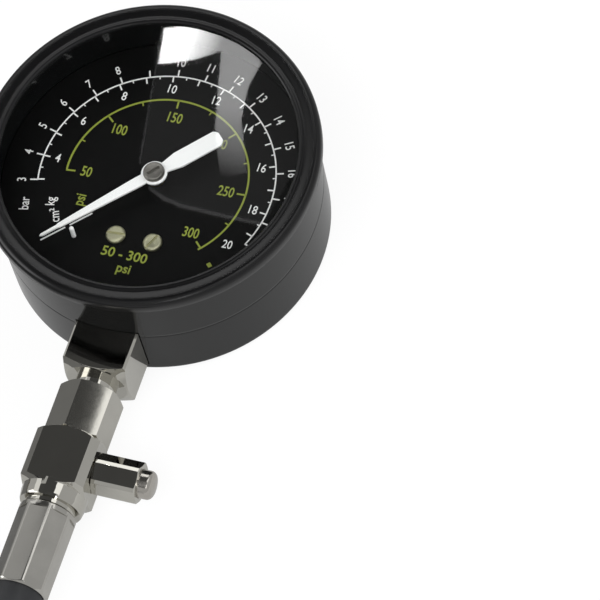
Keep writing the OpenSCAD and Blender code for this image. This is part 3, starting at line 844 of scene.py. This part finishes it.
class TESTER_OT_pointer(bpy.types.Operator):
    """Cuts the white pointer and turns its slotted boss"""

    bl_idname = "tester.pointer"
    bl_label = "Pointer"

    def execute(self, context):
        turn = math.radians(REST_ANGLE)
        low, high = POINTER_FACE, POINTER_FACE + POINTER_THICKNESS
        blade = cut_out("blade", self.outline(turn), low, high)
        hub = turned("hub", [(0, low), (2.9, low), (2.9, high), (0, high)], 64)
        combine(blade, hub, "UNION")
        hole = [(0, low - 1), (1.9, low - 1), (1.9, high + 1), (0, high + 1)]
        combine(blade, turned("bore", hole, 48), "DIFFERENCE")
        break_edges(blade, 0.07 * MM, 2)
        blade.name = "pointer_blade"
        dress(blade, FINISHES["pointer"], "pointer_white", "pointer_arbor", "pointer")
        top = high + 1.0
        shape = [
            (0, 21.4), (1.9, 21.4), (1.9, high), (2.4, high), (2.4, high + 0.12),
            (2.3, high + 0.7), (2.15, high + 0.92), (1.9, top), (0, top),
        ]
        boss = turned("boss", shape, 56)
        slot = bar("slot", (-0.36, -1.45, top - 0.5), (0.36, 1.45, top + 1))
        slot.rotation_euler = (0, 0, turn)
        settle(slot, "slot")
        combine(boss, slot, "DIFFERENCE")
        arbor = turned("arbor", [(0, 20), (0.61, 20), (0.61, 23.42), (0, 23.42)], 32)
        combine(boss, arbor, "DIFFERENCE")
        break_edges(boss, 0.05 * MM, 1, 40)
        boss.name = "pointer_boss_slotted"
        dress(boss, FINISHES["steel"], "boss_grey", "pointer_arbor", "pointer_boss")
        return {"FINISHED"}

    def outline(self, turn):
        """The blade with its broad counterweight, turned from twelve o'clock."""
        tail = [(1.1, -16.7), (2.0, -15.8), (2.0, -6), (1.35, -3)]
        tip = [(1.25, 0), (1.25, 5), (0.55, 23.7), (0.35, 24.3), (0.3, 28.2), (0, 28.7)]
        right = tail + tip
        whole = right + [(-x, y) for x, y in reversed(right) if x > 0]
        cosine, sine = math.cos(turn), math.sin(turn)
        return [(x * cosine - y * sine, x * sine + y * cosine) for x, y in whole]


class TESTER_OT_fittings(bpy.types.Operator):
    """Makes the plated stem, the valve body and the barrel, a hexagon turned down at its corners"""

    bl_idname = "tester.fittings"
    bl_label = "Stem and valve body"

    def execute(self, context):
        width = context.scene.tester_sizes.edge_break
        for name, node in (("stem_plated", "stem_socket"), ("valve_body_plated", "valve_body")):
            piece = break_edges(whole_copy(name, node), width, smooth=24)
            dress(piece, FINISHES["nickel"], "nickel", "gauge", node)
        barrel = whole_copy("release_barrel_plated", "release_barrel")
        rod = [(0, 0), (4.59, 0), (4.59, 20), (0, 20)]
        rod = turned("round_bar", rod, 120, (0, VALVE_Y, STEM_AXIS_Z), (1, 0, 0))
        combine(barrel, rod, "INTERSECT")
        break_edges(barrel, 0.08 * MM, 2, 35, 18)
        dress(barrel, FINISHES["nickel"], "nickel", "gauge", "release_barrel")
        return {"FINISHED"}


class TESTER_OT_release_button(bpy.types.Operator):
    """Turns the domed release button"""

    bl_idname = "tester.release_button"
    bl_label = "Release button"

    def execute(self, context):
        low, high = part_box("release_button")
        reach = (high[0] - low[0]) / MM
        r = (high[1] - low[1]) / 2 / MM
        dome = 1.3
        shoulder = reach - 1.5
        profile = [
            (0, 1.6), (1.0, 1.6), (1.0, 0), (1.5, 0), (1.5, 1.4), (2.6, 1.4), (2.6, 0), (r, 0),
            (r, shoulder),
        ]
        for sine, cosine in quarter_turn(8)[1:]:
            profile.append((r - dome + dome * cosine, shoulder + dome * sine))
        profile += [(1.0, reach - 0.06), (0, reach)]
        base = (low[0] / MM, VALVE_Y, STEM_AXIS_Z)
        button = smoothed(turned("release_button_domed", profile, 64, base, (1, 0, 0)), 40)
        dress(button, FINISHES["button"], "button_grey", "release", "release_button")
        return {"FINISHED"}


class TESTER_OT_sleeves(bpy.types.Operator):
    """Presses the two crimped sleeves"""

    bl_idname = "tester.sleeves"
    bl_label = "Crimped sleeves"

    def execute(self, context):
        for name, node in (("gauge_sleeve", "gauge_ferrule"), ("plug_sleeve", "end_ferrule")):
            sleeve = break_edges(whole_copy(name, node), 0.2 * MM, 3)
            dress(sleeve, FINISHES["zinc"], "zinc", "gauge", node)
        return {"FINISHED"}


class TESTER_OT_plug_end(bpy.types.Operator):
    """Turns the spark plug adapter, with a knurled grip and an M14 thread"""

    bl_idname = "tester.plug_end"
    bl_label = "Spark plug adapter"

    def execute(self, context):
        body = [
            (1.6, 20.2), (6.0, 20.2), (6.2, 20.4), (6.2, 23.2), (7.4, 23.7), (7.55, 24.0),
            (7.55, 37.8), (7.4, 38.2), (6.0, 38.2), (6.0, 40.6), (6.25, 40.8), (6.25, 56.2),
            (5.9, 56.6), (2.75, 56.6), (2.65, 56.5), (2.65, 44.6), (1.6, 44.6), (1.6, 20.2),
        ]
        adapter = smoothed(turned("plug_adapter_plated", body, 72, PLUG_START, PLUG_WAY), 35)
        parts = [adapter, self.grip(context.scene.tester_sizes.knurl_teeth), self.thread()]
        adapter = join(parts, "plug_adapter_plated")
        dress(adapter, FINISHES["nickel"], "nickel", "gauge", "plug_adapter")
        coat(FINISHES["seal"], "plug_ring", "core_seal", "release_seal")
        coat(FINISHES["brass"], "core_body", "hose_nipple")
        coat(FINISHES["steel"], "core_pin", "release_stem")
        coat(FINISHES["rubber"], "hose_ends")
        return {"FINISHED"}

    def grip(self, teeth):
        """A band of straight knurling, chamfered at both ends."""
        low, high = GRIP_ENDS
        step = math.tau / teeth
        outline = []
        for i in range(teeth):
            for radius, share in (
                (GRIP_ROOT_R, 0.0), (GRIP_CREST_R, 0.38), (GRIP_CREST_R, 0.62), (GRIP_ROOT_R, 1.0),
            ):
                a = (i + share * 0.96) * step
                outline.append((radius * math.cos(a), radius * math.sin(a)))
        band = cut_out("grip", outline, low, high)
        ends = [(7.0, low), (7.6, low), (8.1, 24.75), (8.1, 37.05), (7.6, high), (7.0, high)]
        combine(band, turned("ends", ends + ends[:1], 112), "INTERSECT")
        band.rotation_euler = (-math.pi / 2, 0, 0)
        band.location = Vector(PLUG_START) * MM
        return settle(band, "grip")

    def thread(self):
        """The M14 thread: one ridge wound back from the end, 0.3 mm thick at its root."""
        x, y, z = PLUG_START
        ridge = (
            (THREAD_ROOT_R, 0), (THREAD_CREST_R, 0.5), (THREAD_CREST_R, 0.66),
            (THREAD_ROOT_R, 1.17), (THREAD_ROOT_R, THREAD_PITCH),
        )
        piece = chain([(x + r, y + THREAD_END + h, z) for r, h in ridge])
        bpy.ops.mesh.screw(
            steps=44, turns=THREAD_TURNS, center=Vector(PLUG_START) * MM, axis=PLUG_WAY
        )
        merge_doubles()
        face_outwards()
        settle(piece, "thread")
        root = piece.modifiers.new("root", "SOLIDIFY")
        root.thickness = 0.3 * MM
        root.offset = -1
        bpy.ops.object.modifier_apply(modifier=root.name)
        return smoothed(piece, 35)


class TESTER_OT_springs(bpy.types.Operator):
    """Copies the two valve springs from the imported solids and gives them the steel finish"""

    bl_idname = "tester.springs"
    bl_label = "Valve springs"

    def execute(self, context):
        for name, node, joint, axis, anchor, keep in (
            (
                "release_spring_wound", "release_spring", "release_press",
                (1, 0, 0), (9.49, VALVE_Y, STEM_AXIS_Z), 0.52,
            ),
            (
                "core_spring_wound", "core_spring", "check_press",
                (0, 1, 0), (PLUG_START[0], -25.27, PLUG_START[2]), 0.68,
            ),
        ):
            spring = smoothed(whole_copy(name, node), 40)
            dress(spring, FINISHES["steel"], "steel", "gauge", node)
            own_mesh(spring)
        return {"FINISHED"}


class TESTER_OT_movement(bpy.types.Operator):
    """Gives the movement inside the case its brass, bronze and steel"""

    bl_idname = "tester.movement"
    bl_label = "Movement"

    def execute(self, context):
        coat(FINISHES["bronze"], "bourdon_tube", "tube_tip", "hairspring")
        coat(FINISHES["brass"], "back_plate", "front_plate", "plate_pillars", "dial_posts")
        coat(FINISHES["brass"], "sector_gear", "pinion", "link", "spring_stud")
        coat(FINISHES["steel"], "sector_arbor", "plate_screws", "socket_screws")
        return {"FINISHED"}


# Stage

# The photograph's camera: azimuth, elevation and roll in degrees, its place to the right, up and
# back in millimetres, and what gives its lens: the bezel's radius in pixels where it is seen
# square on, the camera's distance in such radii, and the widths of the picture and the sensor
CAMERA_ANGLES = (31.871, 59.716, -15.85)
CAMERA_PLACE = (28.5, -16.15, 1528.7)
BEZEL_PIXELS = 172.065
BEZEL_RADII = 40.23
PICTURE_WIDTH = 600
SENSOR_WIDTH = 36

# Soft lamps: name, place and size in metres, power, and whether mirrors show it
LAMPS = (
    ("softbox_right", (0.75, 0.25, 0.42), (0.7, 0.5), 5.0, False),
    ("softbox_left", (-0.8, -0.35, 0.35), (0.6, 0.5), 2.2, True),
    ("softbox_top", (0.05, -0.7, 1.0), (0.8, 0.8), 9.0, True),
)
LAMP_TARGET = (0, 0, 0.02)

# Cards overhead and on the floor: name, outline in millimetres, height and level
CARDS = (
    ("card_grey", ((-240, -800), (203, -800), (203, 800), (-240, 800)), 522, 0.07),
    ("card_grey_left", ((-460, -800), (-240, -800), (-240, 110), (-460, 110)), 522, 0.075),
    ("card_black", ((-238, 197), (60, 197), (60, 312), (-238, 312)), 520, 0.003),
    ("card_white_far", ((-600, 320), (60, 320), (60, 760), (-600, 760)), 520, 1.5),
    (
        "card_white_right",
        ((110, -100), (330, -100), (330, 420), (203, 420), (203, 156), (110, 156)),
        520, 1.4,
    ),
    ("card_white_left", ((-900, -300), (-460, -300), (-460, 310), (-900, 310)), 520, 1.0),
    # Painted shade: a dark sheet on the floor at the left, seen only in mirrors, that stands for
    # the floor lying in shade there
    (
        "card_floor_left",
        ((-700, -400), (-22, -400), (-22, -42), (-62, -30), (-62, 500), (-700, 500)),
        0.3, 0.2,
    ),
    (
        "card_haze",
        (
            (-169.9, 284), (-161.6, 237.9), (-156, 230.5), (-145.4, 227.1), (-119.6, 227),
            (-116, 250), (-125, 276), (-140, 290), (-158, 294),
        ),
        501, 0.18,
    ),
    ("card_frame", ((-170.1, 284), (-161.8, 237.9), (-161.4, 237.9), (-169.6, 284)), 499, 0.9),
    (
        "card_sill",
        (
            (-156.5, 231.2), (-156, 230.2), (-151, 227.6), (-145.4, 226.6), (-132, 226.2),
            (-119.6, 226.4), (-119.6, 227.4), (-132, 227.3), (-145.2, 227.7), (-150.4, 228.7),
        ),
        499, 0.8,
    ),
)

# The window that the lens mirrors: its outline and height in millimetres, its level from left to
# right, where that changes in x, and where it fades out in y, both in metres
WINDOW = (
    (-169.7, 284.6), (-167.5, 272.4), (-161.5, 274.5), (-157.6, 276.2), (-150.4, 281.0),
    (-143.6, 254.6), (-136.6, 239.0), (-129.6, 243.0), (-137.0, 260.0), (-138.5, 271.5),
    (-137.2, 280.0), (-146.0, 287.0), (-158.0, 289.0),
)
WINDOW_HEIGHT = 500
WINDOW_LEVELS = (26.0, 5.5)
WINDOW_ACROSS = (-0.163, -0.151)
WINDOW_FADE = (0.239, 0.264)

# Levels of the white surroundings: the floor's own light where it is seen and in mirrors, its
# share for sight and for mirrors, and the world's light where it is seen, in mirrors and as a lamp
FLOOR_LEVELS = (1.03, 0.44)
FLOOR_SHARES = (0.86, 0.7)
WORLD_LEVELS = (1.0, 0.5, 0.45)


def camera_view():
    """The photograph's camera as a matrix."""
    az, el, roll = (math.radians(v) for v in CAMERA_ANGLES)
    back = Vector((math.sin(az) * math.cos(el), -math.cos(az) * math.cos(el), math.sin(el)))
    right = Vector((math.cos(az), math.sin(az), 0))
    up = back.cross(right)
    across = math.cos(roll) * right + math.sin(roll) * up
    upward = -math.sin(roll) * right + math.cos(roll) * up
    along, above, away = CAMERA_PLACE
    place = (back * away + across * along + upward * above) * MM
    turn = Matrix((across, upward, back)).transposed().to_4x4()
    return Matrix.Translation(place) @ turn


def card(name, outline, z, finish):
    """A flat card overhead that lamps and sight pass, and that only mirrors show."""
    piece = chain([(x, y, z) for x, y in outline])
    bpy.ops.mesh.edge_face_add()
    settle(piece, name)
    piece.visible_camera = False
    piece.visible_diffuse = False
    piece.visible_shadow = False
    piece.visible_transmission = False
    piece.data.materials.append(finish)


def glow(name, strength):
    """An even light for a card."""
    finish, tree, _ = new_finish(name)
    close(tree, emitted(tree, strength))
    return finish


def window_glow():
    """A window's light for a card: bright at its left and dimmer to the right and down."""
    finish, tree, place = new_finish("Card_window")
    parts = add(tree, "ShaderNodeSeparateXYZ", {0: place}).outputs
    across = ranged(tree, parts["X"], *WINDOW_LEVELS, *WINDOW_ACROSS)
    down = ranged(tree, parts["Y"], 0.0, 1.0, *WINDOW_FADE)
    close(tree, emitted(tree, maths(tree, "MULTIPLY", across, down)))
    return finish


def shown(tree):
    """1 for what the camera, a mirror or glass shows, 0 for light that falls on a matt surface."""
    path = add(tree, "ShaderNodeLightPath").outputs
    first = maths(tree, "MAXIMUM", path["Is Camera Ray"], path["Is Glossy Ray"])
    return maths(tree, "MAXIMUM", first, path["Is Transmission Ray"])


def softbox(name, place, size, power, in_mirrors):
    """An area lamp turned to the tester."""
    lamp = bpy.data.lights.new(name, "AREA")
    lamp.shape = "RECTANGLE"
    lamp.size, lamp.size_y = size
    lamp.energy = power
    piece = bpy.data.objects.new(name, lamp)
    bpy.context.scene.collection.objects.link(piece)
    piece.location = place
    way = Vector(LAMP_TARGET) - Vector(place)
    piece.rotation_euler = way.to_track_quat("-Z", "Y").to_euler()
    piece.visible_glossy = in_mirrors


class TESTER_OT_stage(bpy.types.Operator):
    """Sets the camera, the white floor, the soft lamps and the cards that mirrors show"""

    bl_idname = "tester.stage"
    bl_label = "Stage"

    def execute(self, context):
        scene = context.scene
        scene.view_settings.view_transform = "Standard"
        view = bpy.data.cameras.new("photo_camera")
        view.sensor_width = SENSOR_WIDTH
        view.lens = BEZEL_PIXELS * BEZEL_RADII / PICTURE_WIDTH * SENSOR_WIDTH
        view.clip_end = 20
        camera = bpy.data.objects.new("photo_camera", view)
        scene.collection.objects.link(camera)
        camera.matrix_world = camera_view()
        scene.camera = camera
        self.floor()
        self.sky(scene)
        for lamp in LAMPS:
            softbox(*lamp)
        for name, outline, z, level in CARDS:
            card(name, outline, z, glow(name, level))
        card("card_window", WINDOW, WINDOW_HEIGHT, window_glow())
        return {"FINISHED"}

    def floor(self):
        """White paper: it shows nearly white and keeps a faint shadow."""
        alone()
        bpy.ops.mesh.primitive_plane_add(size=6, location=(0, 0, -0.0004))
        floor = settle(bpy.context.object, "floor")
        finish, tree, _ = new_finish("Floor_white_paper")
        paper = add(tree, "ShaderNodeBsdfDiffuse", {"Color": (0.86, 0.86, 0.86, 1)})
        path = add(tree, "ShaderNodeLightPath").outputs
        light = emitted(tree, ranged(tree, path["Is Glossy Ray"], *FLOOR_LEVELS))
        for_sight, for_mirrors = FLOOR_SHARES
        share = ranged(tree, path["Is Camera Ray"], for_mirrors, for_sight)
        share = maths(tree, "MULTIPLY", shown(tree), share)
        close(tree, mixed(tree, share, paper.outputs["BSDF"], light))
        floor.data.materials.append(finish)

    def sky(self, scene):
        """White for sight, softer in mirrors and for light."""
        world = bpy.data.worlds.new("studio")
        scene.world = world
        world.use_nodes = True
        tree = world.node_tree
        tree.nodes.clear()
        seen, in_mirrors, as_lamp = WORLD_LEVELS
        path = add(tree, "ShaderNodeLightPath").outputs
        full = ranged(tree, path["Is Glossy Ray"], seen, in_mirrors)
        level = ranged(tree, shown(tree), as_lamp, full)
        light = add(tree, "ShaderNodeBackground", {"Color": WHITE, "Strength": level})
        add(tree, "ShaderNodeOutputWorld", {"Surface": light.outputs["Background"]})


class TESTER_PT_panel(bpy.types.Panel):
    """Lists the pieces of the tester"""

    bl_idname = "TESTER_PT_panel"
    bl_label = "Compression tester"
    bl_space_type = "VIEW_3D"
    bl_region_type = "UI"
    bl_category = "Tester"

    def draw(self, context):
        for operator in OPERATORS:
            self.layout.operator(operator.bl_idname)
        for group in (context.scene.tester_sizes, context.scene.tester_colours):
            box = self.layout.box()
            for name in type(group).__annotations__:
                box.prop(group, name)


OPERATORS = (
    TESTER_OT_stage,
    TESTER_OT_hose,
    TESTER_OT_case,
    TESTER_OT_bezel,
    TESTER_OT_lens,
    TESTER_OT_dial,
    TESTER_OT_dial_fittings,
    TESTER_OT_pointer,
    TESTER_OT_fittings,
    TESTER_OT_release_button,
    TESTER_OT_sleeves,
    TESTER_OT_plug_end,
    TESTER_OT_springs,
    TESTER_OT_movement,
)
CLASSES = (TesterSizes, TesterColours, *OPERATORS, TESTER_PT_panel)


def register():
    """Registers the classes and their places in the scene."""
    for part in CLASSES:
        bpy.utils.register_class(part)
    bpy.types.Scene.tester_sizes = bpy.props.PointerProperty(type=TesterSizes)
    bpy.types.Scene.tester_colours = bpy.props.PointerProperty(type=TesterColours)


def unregister():
    """Takes out what register put in."""
    del bpy.types.Scene.tester_colours
    del bpy.types.Scene.tester_sizes
    for part in reversed(CLASSES):
        bpy.utils.unregister_class(part)


def main():
    register()
    make_finishes()
    bpy.ops.tester.stage()
    bpy.ops.tester.hose()
    bpy.ops.tester.case()
    bpy.ops.tester.bezel()
    bpy.ops.tester.lens()
    bpy.ops.tester.dial()
    bpy.ops.tester.dial_fittings()
    bpy.ops.tester.pointer()
    bpy.ops.tester.fittings()
    bpy.ops.tester.release_button()
    bpy.ops.tester.sleeves()
    bpy.ops.tester.plug_end()
    bpy.ops.tester.springs()
    bpy.ops.tester.movement()


if __name__ == "__main__":
    main()
